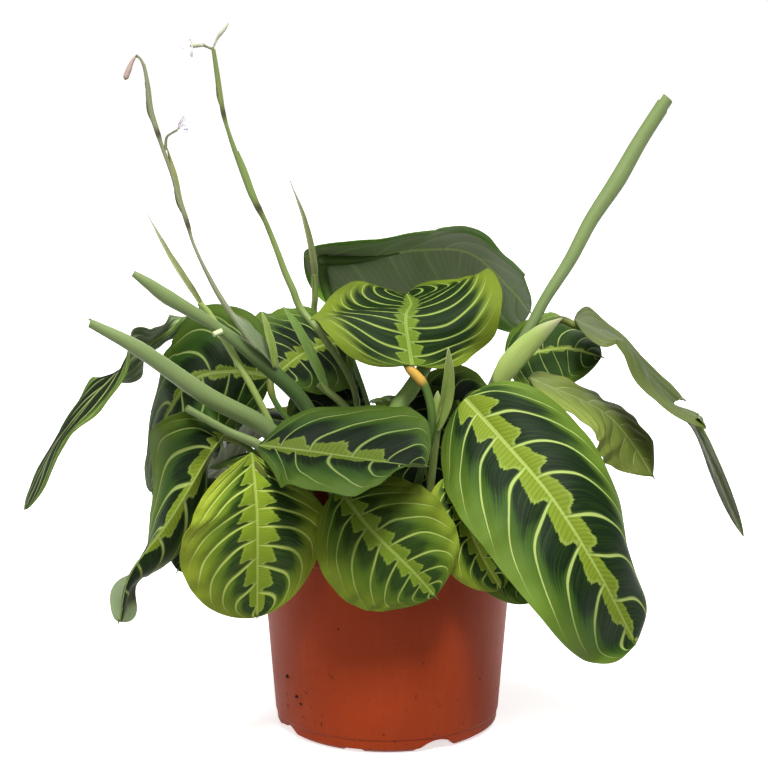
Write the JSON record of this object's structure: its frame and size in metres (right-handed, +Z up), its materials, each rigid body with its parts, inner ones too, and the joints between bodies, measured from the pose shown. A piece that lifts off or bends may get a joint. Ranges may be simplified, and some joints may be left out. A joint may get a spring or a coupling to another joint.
{
  "type": "potted prayer plant",
  "caption": "Potted prayer plant with broad vein-marked leaves, rolled new leaves and thin flower stalks in a plain round nursery pot.",
  "frame": {"origin": "centre of the pot's base, on the surface it stands on", "axes": "+Z up along the pot's axis, -Y towards the front of the plant, +X to the right seen from the front"},
  "size_m": [0.3372, 0.2338, 0.3282],
  "materials": {
    "pot_plastic": "satin",
    "potting_soil": "matte",
    "leaf_mature": "satin",
    "leaf_young": "satin",
    "leaf_olive": "satin",
    "stalk": "satin"
  },
  "bodies": {
    "root": {"pot": "pot_plastic", "soil": "potting_soil", "leaf_front_right": "leaf_mature", "leaf_front_left": "leaf_young", "leaf_front_middle": "leaf_young", "leaf_front_level": "leaf_mature", "leaf_left_low": "leaf_mature", "leaf_far_left": "leaf_mature", "leaf_left_back": "leaf_mature", "leaf_left_upper": "leaf_mature", "leaf_top_middle": "leaf_young", "leaf_top_back": "leaf_mature", "leaf_right_back": "leaf_mature", "leaf_right": "leaf_olive", "leaf_far_right": "leaf_olive", "leaf_inner_right": "leaf_mature", "leaf_front_small": "leaf_young", "leaf_inner_middle": "leaf_mature", "leaf_inner_left": "leaf_mature", "leaf_left_small": "leaf_mature", "leaf_under_right": "leaf_mature", "leaf_back_1": "leaf_mature", "leaf_back_2": "leaf_mature", "leaf_back_3": "leaf_young", "leaf_back_4": "leaf_mature", "leaf_back_5": "leaf_mature", "leaf_back_6": "leaf_young", "rolled_leaf_right": "stalk", "rolled_leaf_left": "stalk", "cut_stalk": "stalk", "shoot_left": "stalk", "sheath_far_left": "stalk", "flower_stalk_right": "stalk", "sheath_tall": "stalk", "sheath_middle": "stalk", "sheath_right": "stalk", "sheath_centre": "stalk"}
  },
  "joints": []
}
